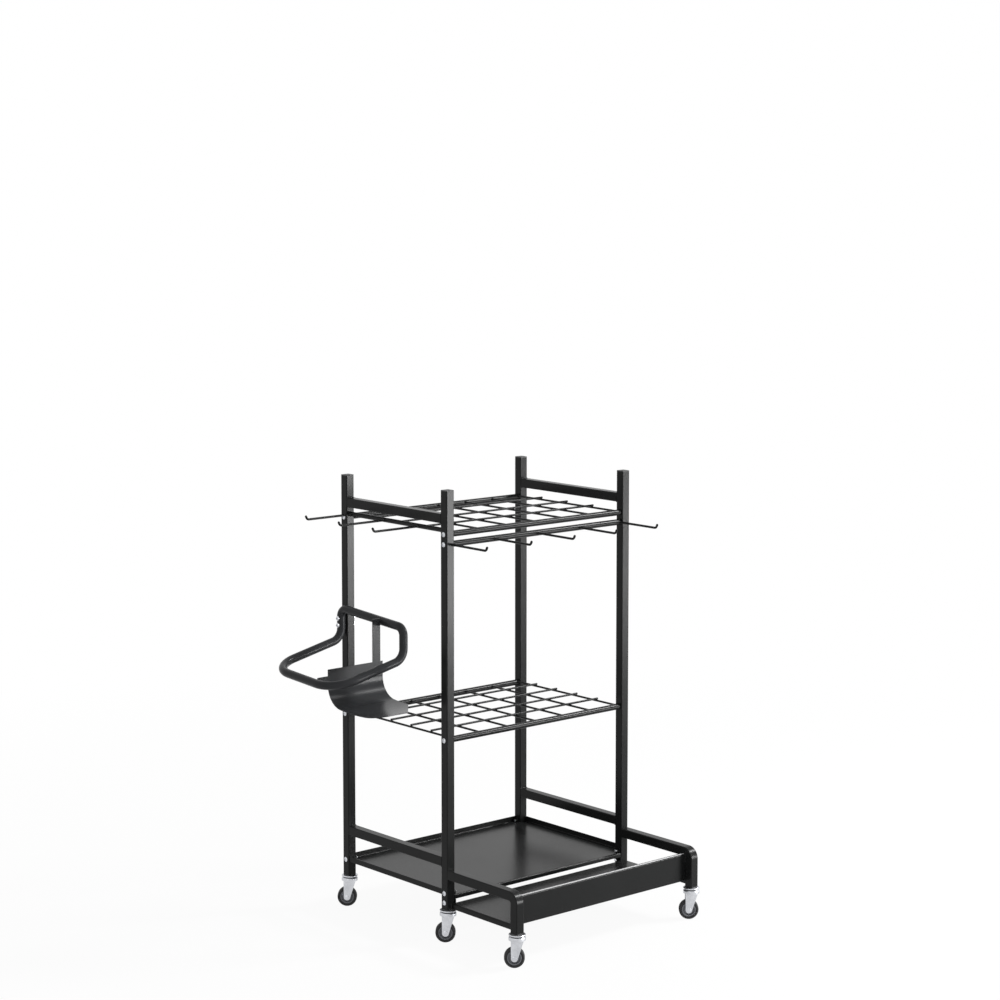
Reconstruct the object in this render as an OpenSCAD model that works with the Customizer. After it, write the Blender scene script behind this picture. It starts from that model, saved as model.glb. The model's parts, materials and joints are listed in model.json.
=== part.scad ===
// Freestanding garden tool rack on six swivel casters, in millimetres, +Z up.
// Places are worked out from the outer front left corner of the front left post,
// X to the right, Y to the back, Z up from the floor, and the whole rack is then
// shifted so that the origin lies on the floor under the middle of its outer box.

/* [Square tubes] */
// Width of the posts, side bars and front legs
tube_w = 20; // [18:1:24]
// Wall of the square tubes
tube_wall = 1.5; // [1.2:0.1:2]
// Outer corner radius of the square tubes
tube_corner_r = 2; // [1.6:0.1:3]
// Distance between the left and right posts, centre to centre
post_span_x = 495; // [440:5:620]
// Distance between the front and rear posts, centre to centre
post_span_y = 335; // [300:5:420]
// Top of the posts above the floor, without the caps
post_top_z = 943; // [920:1:1100]
// Distance from the posts' tops down to the undersides of the upper side bars
upper_bar_drop = 67; // [53:1:73]
// Underside of the lower side bars above the floor
lower_bar_z = 159.5; // [158:0.5:200]

/* [Front legs] */
// Distance from the front posts' centres to the front legs' centres
leg_reach = 217; // [180:1:260]
// Height of the middle of the arms above the floor
arm_z = 145; // [142:1:147]
// Radius of the elbow, on the middle of the tube
elbow_r = 15; // [12:1:20]

/* [Rails] */
// Diameter of the grid rails and of the front hook rail
rail_d = 13; // [11:0.5:14]
// Wall of the rails
rail_wall = 1.5; // [1:0.1:2]
// Length of the tapped plug in each end of a rail
rail_plug_len = 20; // [19:1:30]
// Distance from the posts' tops down to the middles of the upper grid rails
top_rail_drop = 89; // [85:1:93]
// Distance from the posts' tops down to the middle of the front hook rail
hook_rail_drop = 110; // [107:1:115]
// Height of the middle grid rails above the floor
mid_rail_z = 426; // [380:1:460]
// Diameter of the side hook rail
side_rail_d = 10; // [8:0.5:11]
// Distance from the posts' tops down to the middle of the side hook rail
side_rail_drop = 82; // [77:1:87]

/* [Grids] */
// Diameter of the grid wires
wire_d = 4.5; // [3.5:0.1:5]
// Number of wires that run from front to back in each grid
long_wires = 7; // [5:1:9]
// Number of wires that run from side to side in the upper grid
top_cross_wires = 3; // [2:1:4]
// Number of wires that run from side to side in the middle grid
mid_cross_wires = 4; // [3:1:6]
// Height of the front to back wires above the middle of their rails
grid_lift = 2; // [1:0.1:3]
// Distance from a post's inner face to the middle of the first wire
grid_margin = 2.6; // [2.5:0.1:8]

/* [Hooks] */
// Diameter of the hook rods
hook_d = 5; // [4:0.1:5.5]
// Reach of the front hooks in front of the posts
front_hook_reach = 112; // [80:1:130]
// Number of front hooks
front_hook_count = 5; // [3:1:6]
// Distance from the rack's left side to the first front hook
front_hook_start = 14.6; // [10:0.1:17]
// Distance from the right post's inner face to the last front hook
front_hook_end = 2.8; // [2.6:0.1:12]
// Reach of the side hooks beside the posts
side_hook_reach = 117; // [80:1:130]
// Number of side hooks
side_hook_count = 3; // [2:1:4]
// Distance from the rack's front to the first side hook
side_hook_start = 98; // [40:1:100]
// Distance from the rear post's front face to the last side hook
side_hook_end = 9; // [6:0.5:20]
// Radius of the bend at a hook's tip, on the middle of the rod
hook_bend_r = 7; // [5:0.5:9]
// Angle by which a hook's tip turns up
hook_bend_angle = 65; // [40:1:90]
// Straight length of a hook's tip past its bend
hook_tip_len = 3; // [1:0.5:6]

/* [Rear shelf] */
// Thickness of the sheet that the shelf, tray and panel are pressed from
sheet_t = 1.5; // [1.2:0.1:2]
// Inner radius of the sheet's bends
sheet_bend_r = 1.5; // [1:0.1:2]
// Top of the rear shelf's floor above the floor
shelf_z = 100.5; // [99:0.5:106]
// Height of the rear shelf's lips above its floor
shelf_lip_h = 11.5; // [9:0.5:16]
// Depth of the rear shelf's front hem
shelf_hem_h = 8; // [6:0.5:8.5]
// Distance from the posts' outer faces to the shelf's and panel's side edges
sheet_inset = 2; // [1:0.5:4]
// Gap between a sheet's edge and the tube beside it
sheet_gap = 0.3; // [0.2:0.1:0.6]

/* [Front tray] */
// Top of the front tray's floor above the floor
tray_z = 84; // [82:0.5:85]
// Depth of the front tray's hems
tray_hem_h = 10; // [8:0.5:11]
// Distance from the legs' outer sides to the front tray's side edges
tray_inset = 10; // [4:0.5:12]
// Height of the front panel's top edge above the floor
panel_top_z = 141; // [130:1:160]
// Depth of the fold along the panel's top edge
panel_fold = 8; // [6:0.5:12]
// Depth of the flange under the tray's front edge
panel_flange = 14; // [10:0.5:20]
// Top of the tabs that fix the panel behind the legs
panel_tab_top_z = 123; // [116:0.5:126]

/* [Cradle] */
// Diameter of the cradle's bent tube
cradle_d = 18; // [16:0.5:20]
// Wall of the cradle's tube
cradle_wall = 1.5; // [1:0.1:2]
// Distance from the rack's front to the cradle's near side
cradle_near_y = 131; // [110:1:140]
// Distance from the rack's left side to the middle of the cradle's rim
cradle_reach = 191; // [180:1:200]
// Height of the near end of the cradle's top bar above the floor
cradle_top_z = 645; // [643:1:660]
// Height at which the near arm leaves its upright
cradle_elbow_z = 579; // [575:1:582]
// Fall of the cradle's arms from the rack to the rim
cradle_fall = 40; // [30:1:45]
// Rise of the cradle from its near side to its far side
cradle_rise = 13; // [5:1:14]
// Bend radius of the cradle's corners at the top bar
cradle_top_r = 18; // [14:1:19]
// Bend radius where the arms leave the uprights
cradle_elbow_r = 28; // [22:1:29]
// Bend radius of the rim's corners
cradle_rim_r = 58; // [40:1:60]

/* [Cradle tray] */
// Thickness of the cradle's bent tray
cradle_sheet_t = 2; // [1.5:0.1:2.5]
// Distance from the rack's left side to the tray's inner edge
cradle_sheet_gap = 12; // [10:0.5:14]
// Width of the tray from its inner edge to its outer edge
cradle_sheet_w = 143; // [130:1:148]
// Distance from the rack's front to the lowest line of the tray's foot
foot_y = 106; // [100:1:110]
// Height of the middle of the foot at its lowest line
foot_z = 486; // [480:1:490]
// Radius of the foot's shallow curve
foot_arc_r = 500; // [450:5:550]
// Angle of the foot's curve from its lowest line to its front edge
foot_front_angle = 7.8; // [7:0.1:8]
// Angle of the foot's curve from its lowest line to the back's curve
foot_back_angle = 6; // [5:0.1:6]
// Radius of the curve between the foot and the upright back
back_arc_r = 45; // [40:1:48]
// Top of the tray's upright back above the floor
back_top_z = 566; // [560:1:572]
// Corner radius of the foot at its outer front corner
foot_corner_r = 34; // [20:1:40]
// Width of the cut at the foot's inner front corner
foot_cut_x = 60; // [40:1:70]
// Depth of the cut at the foot's inner front corner
foot_cut_y = 74; // [60:1:80]

/* [Casters] */
// Height of a caster from the floor to the top of its plate
caster_h = 69; // [68:0.5:70]
// Diameter of the caster's round top plate
plate_d = 35; // [34:0.5:36]
// Thickness of the top plate
plate_t = 3; // [2:0.1:3.5]
// Diameter of the stem in the tube
stem_d = 10; // [8:0.5:11]
// Length of the stem above the top plate
stem_len = 9.5; // [8:0.5:10]
// Thickness of the washer under the top plate
swivel_washer_t = 1.6; // [1.2:0.1:2]
// Diameter of the kingpin that the fork turns on
kingpin_d = 8; // [7:0.5:9]
// Diameter of the kingpin's lower head
kingpin_head_d = 14; // [12:0.5:15]
// Height of the kingpin's lower head
kingpin_head_h = 2.4; // [2:0.1:3]
// Thickness of the fork's pressed steel
fork_t = 2; // [1.6:0.1:2.2]
// Height of the fork's round crown
crown_h = 7.5; // [6:0.5:12]
// Gap between the fork's legs
fork_gap = 18; // [17.5:0.1:18.5]
// Width of the fork's legs where they leave the crown
fork_top_w = 26; // [23:0.2:26.2]
// Diameter of the fork's round ends
fork_end_d = 14; // [13:0.5:17]
// Distance that the axle trails behind the kingpin
trail = 5.5; // [4:0.5:6]
// Direction in which the axles trail, from the rack's right side
trail_angle = 139; // [130:1:150]
// Diameter of the wheel
wheel_d = 42; // [40:0.5:42]
// Width of the tyre
tyre_w = 16; // [14:0.5:16]
// Radius of the tyre's shoulders
tyre_shoulder_r = 3; // [2:0.1:4]
// Diameter of the hub inside the tyre
hub_d = 30; // [27:0.5:31]
// Diameter of the wheel's axle
axle_d = 6; // [5:0.5:7]
// Diameter of the axle's riveted heads
axle_head_d = 10; // [9:0.5:11]
// Height of the axle's riveted heads
axle_head_h = 1.8; // [1.5:0.1:2.2]
// Gap between the hub and each fork leg
hub_end_gap = 0.3; // [0.2:0.05:0.4]

/* [Fasteners] */
// Diameter of the bolts
bolt_d = 6; // [5:0.5:6]
// Diameter of the domed bolt heads
bolt_head_d = 10.5; // [9:0.5:11]
// Height of the domed bolt heads
bolt_head_h = 3.3; // [2.8:0.1:3.6]
// Width of the hexagon sockets in the bolt heads, over the flats
bolt_key_w = 4; // [3:0.5:4]
// Width of the nuts over their flats
nut_w = 10; // [9:0.5:11]
// Height of the nuts
nut_h = 5; // [4:0.5:6]
// Diameter of the weld nuts on the sheets' ears
weld_nut_d = 10; // [9:0.5:11]
// Length of a bolt's thread past what it holds
bolt_past = 2; // [1:0.5:3]

/* [Fits] */
// Radial clearance of the turning fits
run_clear = 0.05; // [0.03:0.01:0.1]
// Radial clearance of a bolt in a tapped hole, and of other fixed fits
fixed_clear = 0.05; // [0.03:0.01:0.1]
// Radial clearance of a bolt in a plain hole
hole_clear = 0.2; // [0.1:0.05:0.3]
// Clearance all round a plastic plug in a square tube
plug_clear = 0.1; // [0.05:0.05:0.2]
// Gap left at a welded wire, hook or strip, which the weld fills
weld_gap = 0.08; // [0.05:0.01:0.1]

/* [Hidden] */
$fn = 48;
// Facets of the shallow arcs when they are shown as a mesh
arc_fn = 720;
// Overrun of a cut past the face that it opens
over = 1;

// Small plastic pieces
cap_t = 2;
cap_plug_h = 12;
cap_plug_wall = 2;
socket_flange_t = 1.5;
socket_h = 11;
// Smallest inner corner radius of the square tubes
least_inner_r = 0.3;
// Length of a bolt's thread in a tapped plug
thread_len = 15;
// Distance from a sheet's bolt hole to the edges of its ear
ear_margin = 7;
// Length by which a tab or an ear runs on into its sheet
sheet_lap = 4;
// Distance from the rear shelf's floor to its bolts
shelf_bolt_rise = 3.5;
// Distance from the front panel's lower edge to its bolt
panel_bolt_rise = 14;
// Length of the tapped plug in the arm's rear end and in a leg's wall
arm_plug_len = 20;
leg_boss_len = 8;
leg_boss_d = 12;
// Depth of the hexagon socket as a share of the bolt head's height
key_depth_share = 0.6;
// Radius of the edge under the bolt heads' domes
head_edge_h = 0.8;
// Difference in diameter between a straight and its bend, and how far a bend enters a straight
bend_step = 0.1;
bend_lap = 0.6;
stem_chamfer = 1;
swivel_washer_d = 30;
// Web and boss of the hub
hub_web_t = 5;
hub_rim_t = 2.4;
hub_boss_d = 12;
hub_rim_w_share = 0.86;
// Depth of the ring groove in the tyre's sides
tyre_groove_depth = 0.7;
tyre_groove_w = 1.6;
// Lengths of the cradle tray's ears
rim_ear_h = 18;
bar_ear_w = 20;
bar_ear_rise = 8;
// Heights of the cradle's bolts below the middle of its top bar
cradle_bolt_drops = [22, 37];

tube_half = tube_w / 2;
tube_inner_w = tube_w - 2 * tube_wall;
tube_inner_r = max(tube_corner_r - tube_wall, least_inner_r);
left_x = tube_half;
right_x = tube_half + post_span_x;
front_y = tube_half;
rear_y = tube_half + post_span_y;
leg_y = front_y - leg_reach;
// Inner and outer faces of the posts and legs
inner_left = tube_w;
inner_right = post_span_x;
outer_right = post_span_x + tube_w;
outer_rear = post_span_y + tube_w;
leg_back = leg_y + tube_half;
tube_bottom_z = caster_h + socket_flange_t;

rail_len = inner_right - inner_left;
plug_w = tube_inner_w - 2 * plug_clear;
bolt_hole_r = bolt_d / 2 + hole_clear;
tap_r = bolt_d / 2 + fixed_clear;
bend_out = sheet_bend_r + sheet_t;

// Heights of the rails and bars that hang from the posts' tops
upper_bar_z = post_top_z - upper_bar_drop;
top_rail_z = post_top_z - top_rail_drop;
hook_rail_z = post_top_z - hook_rail_drop;
side_rail_z = post_top_z - side_rail_drop;

// Heights of the bolts on the posts' outer faces
shelf_bolt_z = shelf_z + shelf_bolt_rise;
front_bolts = [top_rail_z, hook_rail_z, mid_rail_z, shelf_bolt_z, tray_z];
rear_bolts = [top_rail_z, mid_rail_z, shelf_bolt_z];
// Lower edge of the front panel and the height of its bolts
panel_z = tray_z - 2 * sheet_t;
panel_bolt_z = panel_z + panel_bolt_rise;

// Corner points of the cradle's tube
cradle_x = -(cradle_d / 2 + weld_gap);
cradle_far_top_z = cradle_top_z + cradle_rise;
cradle_path = [
    [cradle_x, cradle_near_y, cradle_top_z],
    [cradle_x, cradle_near_y, cradle_elbow_z],
    [-cradle_reach, cradle_near_y, cradle_elbow_z - cradle_fall],
    [-cradle_reach, rear_y, cradle_elbow_z - cradle_fall + cradle_rise],
    [cradle_x, rear_y, cradle_elbow_z + cradle_rise],
    [cradle_x, rear_y, cradle_far_top_z]
];
cradle_radii = [cradle_top_r, cradle_elbow_r, cradle_rim_r, cradle_rim_r, cradle_elbow_r, cradle_top_r];

// Curves of the cradle's tray, as distance from the front and height
foot_middle = [foot_y, foot_z + foot_arc_r];
foot_front_y = foot_y - foot_arc_r * sin(foot_front_angle);
foot_end = foot_middle + foot_arc_r * [sin(foot_back_angle), -cos(foot_back_angle)];
back_middle = foot_end + back_arc_r * [-sin(foot_back_angle), cos(foot_back_angle)];
back_y = back_middle.x + back_arc_r;
// Height of the rim where the tray's upright meets it
rim_share = (back_y - cradle_near_y) / (rear_y - cradle_near_y);
rim_z = cradle_elbow_z - cradle_fall + cradle_rise * rim_share;
bar_z = cradle_top_z + cradle_rise * rim_share;

// Heights of a caster's pieces
washer_z = caster_h - plate_t - swivel_washer_t;
crown_z = washer_z - run_clear;
kingpin_head_z = crown_z - fork_t - run_clear;
fork_taper_z = crown_z - crown_h;
axle_z = wheel_d / 2;
fork_half = fork_gap / 2;

// Middle of the whole rack's outer box
half_tyre = tyre_w / 2 - tyre_shoulder_r;
tread_r = wheel_d / 2 - tyre_shoulder_r;
tyre_reach_x = tread_r * abs(cos(trail_angle)) + half_tyre * abs(sin(trail_angle)) + tyre_shoulder_r;
tyre_reach_y = tread_r * abs(sin(trail_angle)) + half_tyre * abs(cos(trail_angle)) + tyre_shoulder_r;
box_left = min(-cradle_reach - cradle_d / 2, -side_hook_reach);
box_right = right_x + max(plate_d / 2, trail * cos(trail_angle) + tyre_reach_x);
box_front = leg_y + min(-plate_d / 2, trail * sin(trail_angle) - tyre_reach_y);
box_rear = rear_y + max(plate_d / 2, trail * sin(trail_angle) + tyre_reach_y);
box_mid = [(box_left + box_right) / 2, (box_front + box_rear) / 2, 0];

// Places of the casters
front_left = [left_x, front_y];
front_right = [right_x, front_y];
rear_left = [left_x, rear_y];
rear_right = [right_x, rear_y];
leg_left = [left_x, leg_y];
leg_right = [right_x, leg_y];
caster_places = [front_left, front_right, rear_left, rear_right, leg_left, leg_right];

// Colours
rack_black = [0.07, 0.07, 0.075];
cradle_grey = [0.2, 0.2, 0.21];
zinc = [0.76, 0.77, 0.79];
rubber_black = [0.05, 0.05, 0.05];
hub_grey = [0.28, 0.29, 0.3];
plastic_black = [0.1, 0.1, 0.1];

// Moves a shape from the rack's corner coordinates to its final place
module placed() {
    translate(-box_mid) children();
}

// A square with rounded corners, centred
module rounded_square(w, r) {
    square([w - 2 * r, w], center = true);
    square([w, w - 2 * r], center = true);
    for (sx = [-1, 1], sy = [-1, 1]) translate([sx * (w / 2 - r), sy * (w / 2 - r)]) circle(r);
}

// The square tubes' section
module tube_section() {
    difference() {
        rounded_square(tube_w, tube_corner_r);
        rounded_square(tube_inner_w, tube_inner_r);
    }
}

// A hole along X, centred, wide enough to cross a tube
module cross_hole(r) {
    rotate([0, 90, 0]) cylinder(h = tube_w + 2 * over, r = r, center = true);
}

// A post with plain holes for the bolts through its left and right walls
module post(place, bolt_heights) {
    difference() {
        translate([place.x, place.y, tube_bottom_z])
            linear_extrude(post_top_z - tube_bottom_z) tube_section();
        for (z = bolt_heights) translate([place.x, place.y, z]) cross_hole(bolt_hole_r);
    }
}

// A front post, which also takes the bolt that holds its arm
module front_post(place) {
    difference() {
        post(place, front_bolts);
        translate([place.x, place.y, arm_z]) rotate([0, 0, 90]) cross_hole(bolt_hole_r);
    }
}

module post_front_left() {
    color(rack_black) placed() front_post(front_left);
}

module post_front_right() {
    color(rack_black) placed() front_post(front_right);
}

module post_rear_left() {
    cradle_heights = [for (drop = cradle_bolt_drops) cradle_far_top_z - drop];
    color(rack_black) placed() post(rear_left, concat(rear_bolts, cradle_heights));
}

module post_rear_right() {
    color(rack_black) placed() post(rear_right, rear_bolts);
}

// Flat caps with hollow plugs in the tops of the posts
module post_caps() {
    color(plastic_black) placed()
        for (place = [front_left, front_right, rear_left, rear_right])
            translate([place.x, place.y, post_top_z]) {
                linear_extrude(cap_t) rounded_square(tube_w, tube_corner_r);
                translate([0, 0, -cap_plug_h]) linear_extrude(cap_plug_h) difference() {
                    rounded_square(plug_w, tube_inner_r);
                    rounded_square(plug_w - 2 * cap_plug_wall, tube_inner_r);
                }
            }
}

// A bar welded between a front and a rear post
module side_bar(x, z) {
    translate([x, tube_w, z + tube_half])
        rotate([-90, 0, 0]) linear_extrude(post_span_y - tube_w) tube_section();
}

module upper_bar_left() {
    color(rack_black) placed() side_bar(left_x, upper_bar_z);
}

module upper_bar_right() {
    color(rack_black) placed() side_bar(right_x, upper_bar_z);
}

module lower_bar_left() {
    color(rack_black) placed() side_bar(left_x, lower_bar_z);
}

module lower_bar_right() {
    color(rack_black) placed() side_bar(right_x, lower_bar_z);
}

// A front leg: an arm from the post, an elbow and the leg, bent from one tube,
// with a tapped plug in the arm's end and a tapped boss behind the leg's wall
module front_leg(place) {
    arm_len = -leg_y - elbow_r;
    difference() {
        union() {
            translate([place.x, 0, arm_z]) rotate([90, 0, 0]) {
                linear_extrude(arm_plug_len) rounded_square(tube_w, tube_corner_r);
                linear_extrude(arm_len) tube_section();
            }
            translate([place.x, leg_y + elbow_r, arm_z - elbow_r])
                rotate([0, -90, 180]) rotate_extrude(angle = 90) translate([elbow_r, 0]) tube_section();
            translate([place.x, leg_y, tube_bottom_z])
                linear_extrude(arm_z - elbow_r - tube_bottom_z) tube_section();
            translate([place.x, leg_back - tube_wall / 2, panel_bolt_z])
                rotate([90, 0, 0]) cylinder(h = leg_boss_len, d = leg_boss_d);
        }
        translate([place.x, over, arm_z]) rotate([90, 0, 0]) cylinder(h = arm_plug_len + 2 * over, r = tap_r);
        translate([place.x, leg_back + over, panel_bolt_z])
            rotate([90, 0, 0]) cylinder(h = leg_boss_len + tube_wall + 2 * over, r = tap_r);
    }
}

module front_leg_left() {
    color(rack_black) placed() front_leg(leg_left);
}

module front_leg_right() {
    color(rack_black) placed() front_leg(leg_right);
}

// A round rail between two posts, a tube with a tapped plug in each end
module rail(y, z) {
    translate([inner_left, y, z]) rotate([0, 90, 0]) difference() {
        cylinder(h = rail_len, d = rail_d);
        translate([0, 0, -over]) cylinder(h = rail_len + 2 * over, r = tap_r);
        translate([0, 0, rail_plug_len])
            cylinder(h = rail_len - 2 * rail_plug_len, d = rail_d - 2 * rail_wall);
    }
}

module top_front_rail() {
    color(rack_black) placed() rail(front_y, top_rail_z);
}

module top_back_rail() {
    color(rack_black) placed() rail(rear_y, top_rail_z);
}

module mid_front_rail() {
    color(rack_black) placed() rail(front_y, mid_rail_z);
}

module mid_back_rail() {
    color(rack_black) placed() rail(rear_y, mid_rail_z);
}

module hook_rail() {
    color(rack_black) placed() rail(front_y, hook_rail_z);
}

// A plain rod welded between the left posts, under the upper bar
module side_hook_rail() {
    color(rack_black) placed() translate([left_x, tube_w, side_rail_z])
        rotate([-90, 0, 0]) cylinder(h = post_span_y - tube_w, d = side_rail_d);
}

// A welded grid: wires from the front rail to the back rail, and wires across them
module grid(rail_z, cross_wires) {
    wire_z = rail_z + grid_lift;
    long_pitch = (rail_len - 2 * grid_margin) / (long_wires - 1);
    cross_pitch = post_span_y / (cross_wires + 1);
    for (i = [0 : long_wires - 1])
        translate([inner_left + grid_margin + i * long_pitch, front_y + rail_d / 2 + weld_gap, wire_z])
            rotate([-90, 0, 0]) cylinder(h = post_span_y - rail_d - 2 * weld_gap, d = wire_d);
    for (i = [1 : cross_wires])
        translate([inner_left + grid_margin - wire_d / 2, front_y + i * cross_pitch, wire_z + wire_d + weld_gap])
            rotate([0, 90, 0]) cylinder(h = rail_len - 2 * grid_margin + wire_d, d = wire_d);
}

module top_grid() {
    color(rack_black) placed() grid(top_rail_z, top_cross_wires);
}

module mid_grid() {
    color(rack_black) placed() grid(mid_rail_z, mid_cross_wires);
}

// A bend of a round rod about +Z, a hair thinner than the straights that it enters
module rod_bend(r, turn, d) {
    lap_angle = bend_lap / r * 180 / PI;
    rotate([0, 0, -lap_angle]) rotate_extrude(angle = turn + 2 * lap_angle)
        translate([r, 0]) circle(d = d - bend_step);
}

// A rod along +Z with its tip bent towards +X
module hook_rod(reach) {
    bend_reach = hook_bend_r * sin(hook_bend_angle);
    straight = reach - bend_reach - hook_tip_len * cos(hook_bend_angle) - hook_d / 2;
    cylinder(h = straight, d = hook_d);
    translate([hook_bend_r, 0, straight]) rotate([-90, 0, 0]) rotate([0, 0, 180])
        rod_bend(hook_bend_r, hook_bend_angle, hook_d);
    translate([hook_bend_r - hook_bend_r * cos(hook_bend_angle), 0, straight + bend_reach])
        rotate([0, hook_bend_angle, 0]) {
            cylinder(h = hook_tip_len, d = hook_d);
            translate([0, 0, hook_tip_len]) sphere(d = hook_d - bend_step);
        }
}

// Hooks along the front, the first on the left post and the others on the hook rail
module front_hooks() {
    last_x = inner_right - front_hook_end;
    pitch = (last_x - front_hook_start) / (front_hook_count - 1);
    color(rack_black) placed() for (i = [0 : front_hook_count - 1]) {
        x = front_hook_start + i * pitch;
        root_y = (x < inner_left ? 0 : front_y - rail_d / 2) - weld_gap;
        translate([x, root_y, hook_rail_z])
            rotate([90, 0, 0]) rotate([0, 0, 90]) hook_rod(front_hook_reach + root_y);
    }
}

// Hooks along the left side, on the side hook rail
module side_hooks() {
    last_y = post_span_y - side_hook_end;
    pitch = (last_y - side_hook_start) / (side_hook_count - 1);
    root_x = left_x - side_rail_d / 2 - weld_gap;
    color(rack_black) placed() for (i = [0 : side_hook_count - 1])
        translate([root_x, side_hook_start + i * pitch, side_rail_z])
            rotate([0, -90, 0]) hook_rod(side_hook_reach + root_x);
}

// Section of a sheet's bend and lip: the floor ends at x = 0 with its top at y = 0
module lip_section(h) {
    intersection() {
        translate([0, sheet_bend_r]) difference() {
            circle(bend_out);
            circle(sheet_bend_r);
        }
        translate([0, -sheet_t]) square(bend_out);
    }
    translate([sheet_bend_r, sheet_bend_r]) square([sheet_t, h - sheet_bend_r]);
}

// A lip along a floor's edge that faces the given direction
module edge_lip(place, direction, length, h) {
    translate(place) rotate([0, 0, direction]) rotate([90, 0, 0])
        linear_extrude(length, center = true) lip_section(h);
}

// A hem along a floor's edge, which is a lip turned down
module edge_hem(place, direction, length, h) {
    translate(place) rotate([0, 0, direction]) rotate([90, 0, 0])
        linear_extrude(length, center = true) translate([0, -sheet_t]) mirror([0, 1]) lip_section(h);
}

// An ear beside a post's inner face with its weld nut; side is 1 on the left, -1 on the right
module ear(side, y_from, y_to, z_from, bolt_z) {
    face_x = side > 0 ? inner_left + sheet_gap : inner_right - sheet_gap;
    plate_x = side > 0 ? face_x : face_x - sheet_t;
    bolt_y = y_to - ear_margin;
    difference() {
        union() {
            translate([plate_x, y_from, z_from]) cube([sheet_t, y_to - y_from, bolt_z + ear_margin - z_from]);
            translate([face_x, bolt_y, bolt_z]) rotate([0, side * 90, 0])
                cylinder(h = sheet_t + nut_h, d = weld_nut_d);
        }
        translate([face_x, bolt_y, bolt_z]) rotate([0, 90, 0])
            cylinder(h = 2 * (sheet_t + nut_h + over), r = tap_r, center = true);
    }
}

// The rear shelf: a pan between the four posts with lips on three sides
module rear_shelf() {
    floor_left = sheet_inset + bend_out;
    floor_right = outer_right - sheet_inset - bend_out;
    floor_front = sheet_gap + bend_out;
    floor_rear = outer_rear - sheet_inset - bend_out;
    lip_w = rail_len - 2 * sheet_gap;
    lip_d = post_span_y - tube_w - 2 * sheet_gap;
    mid_x = (left_x + right_x) / 2;
    mid_y = (front_y + rear_y) / 2;
    color(rack_black) placed() {
        translate([0, 0, shelf_z - sheet_t]) linear_extrude(sheet_t) difference() {
            translate([floor_left, floor_front]) square([floor_right - floor_left, floor_rear - floor_front]);
            for (place = [front_left, front_right, rear_left, rear_right])
                translate(place) square(tube_w + 2 * sheet_gap, center = true);
        }
        edge_lip([floor_left, mid_y, shelf_z], 180, lip_d, shelf_lip_h);
        edge_lip([floor_right, mid_y, shelf_z], 0, lip_d, shelf_lip_h);
        edge_lip([mid_x, floor_rear, shelf_z], 90, lip_w, shelf_lip_h);
        edge_hem([mid_x, floor_front, shelf_z], -90, lip_w, shelf_hem_h);
        for (side = [-1, 1], y = [front_y, rear_y])
            ear(side, y - ear_margin, y + ear_margin, shelf_z - sheet_t, shelf_bolt_z);
    }
}

// The front tray: a floor from the front panel to the posts with hems on three sides
module front_tray() {
    floor_left = tray_inset + bend_out;
    floor_right = outer_right - tray_inset - bend_out;
    floor_front = leg_back + bend_out + weld_gap;
    floor_rear = -sheet_gap - bend_out;
    mid_x = (left_x + right_x) / 2;
    mid_y = (floor_front + floor_rear) / 2;
    color(rack_black) placed() {
        translate([floor_left, floor_front, tray_z - sheet_t])
            cube([floor_right - floor_left, floor_rear - floor_front, sheet_t]);
        edge_hem([floor_left, mid_y, tray_z], 180, floor_rear - floor_front, tray_hem_h);
        edge_hem([floor_right, mid_y, tray_z], 0, floor_rear - floor_front, tray_hem_h);
        edge_hem([mid_x, floor_rear, tray_z], 90, floor_right - floor_left, tray_hem_h);
        for (side = [-1, 1])
            ear(side, -sheet_gap - sheet_t, front_y + ear_margin, tray_z - tray_hem_h, tray_z);
    }
}

// Section of the front panel: x to the back, y up, from its lower front edge
module panel_section() {
    panel_h = panel_top_z - panel_z;
    translate([0, bend_out]) square([sheet_t, panel_h - 2 * bend_out]);
    translate([bend_out, 0]) square([panel_flange - bend_out, sheet_t]);
    translate([bend_out, panel_h - sheet_t]) square([panel_fold - bend_out, sheet_t]);
    for (end = [0, 1]) translate([0, end * panel_h]) mirror([0, end]) intersection() {
        square(bend_out);
        translate([bend_out, bend_out]) difference() {
            circle(bend_out);
            circle(sheet_bend_r);
        }
    }
}

// The front panel between the legs, with a tab behind each leg
module front_panel() {
    tab_w = tube_w + sheet_gap - sheet_inset + sheet_lap;
    color(rack_black) placed() {
        translate([inner_left + sheet_gap, leg_back, panel_z])
            rotate([90, 0, 90]) linear_extrude(rail_len - 2 * sheet_gap) panel_section();
        difference() {
            for (x = [sheet_inset, inner_right - sheet_gap - sheet_lap])
                translate([x, leg_back, panel_z + bend_out])
                    cube([tab_w, sheet_t, panel_tab_top_z - panel_z - bend_out]);
            for (x = [left_x, right_x]) translate([x, leg_back, panel_bolt_z])
                rotate([90, 0, 0]) cylinder(h = 2 * (sheet_t + over), r = bolt_hole_r, center = true);
        }
    }
}

// Direction from one point to another, of length one
function heading(from, to) = (to - from) / norm(to - from);

// Length of the straight that a rounded corner takes from each of its sides
function corner_trim(before, at, after, r) =
    r * tan((180 - acos(heading(at, before) * heading(at, after))) / 2);

// A round rod between two points
module rod(from, to, d) {
    run = to - from;
    translate(from) rotate([0, acos(run.z / norm(run)), atan2(run.y, run.x)]) cylinder(h = norm(run), d = d);
}

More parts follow.
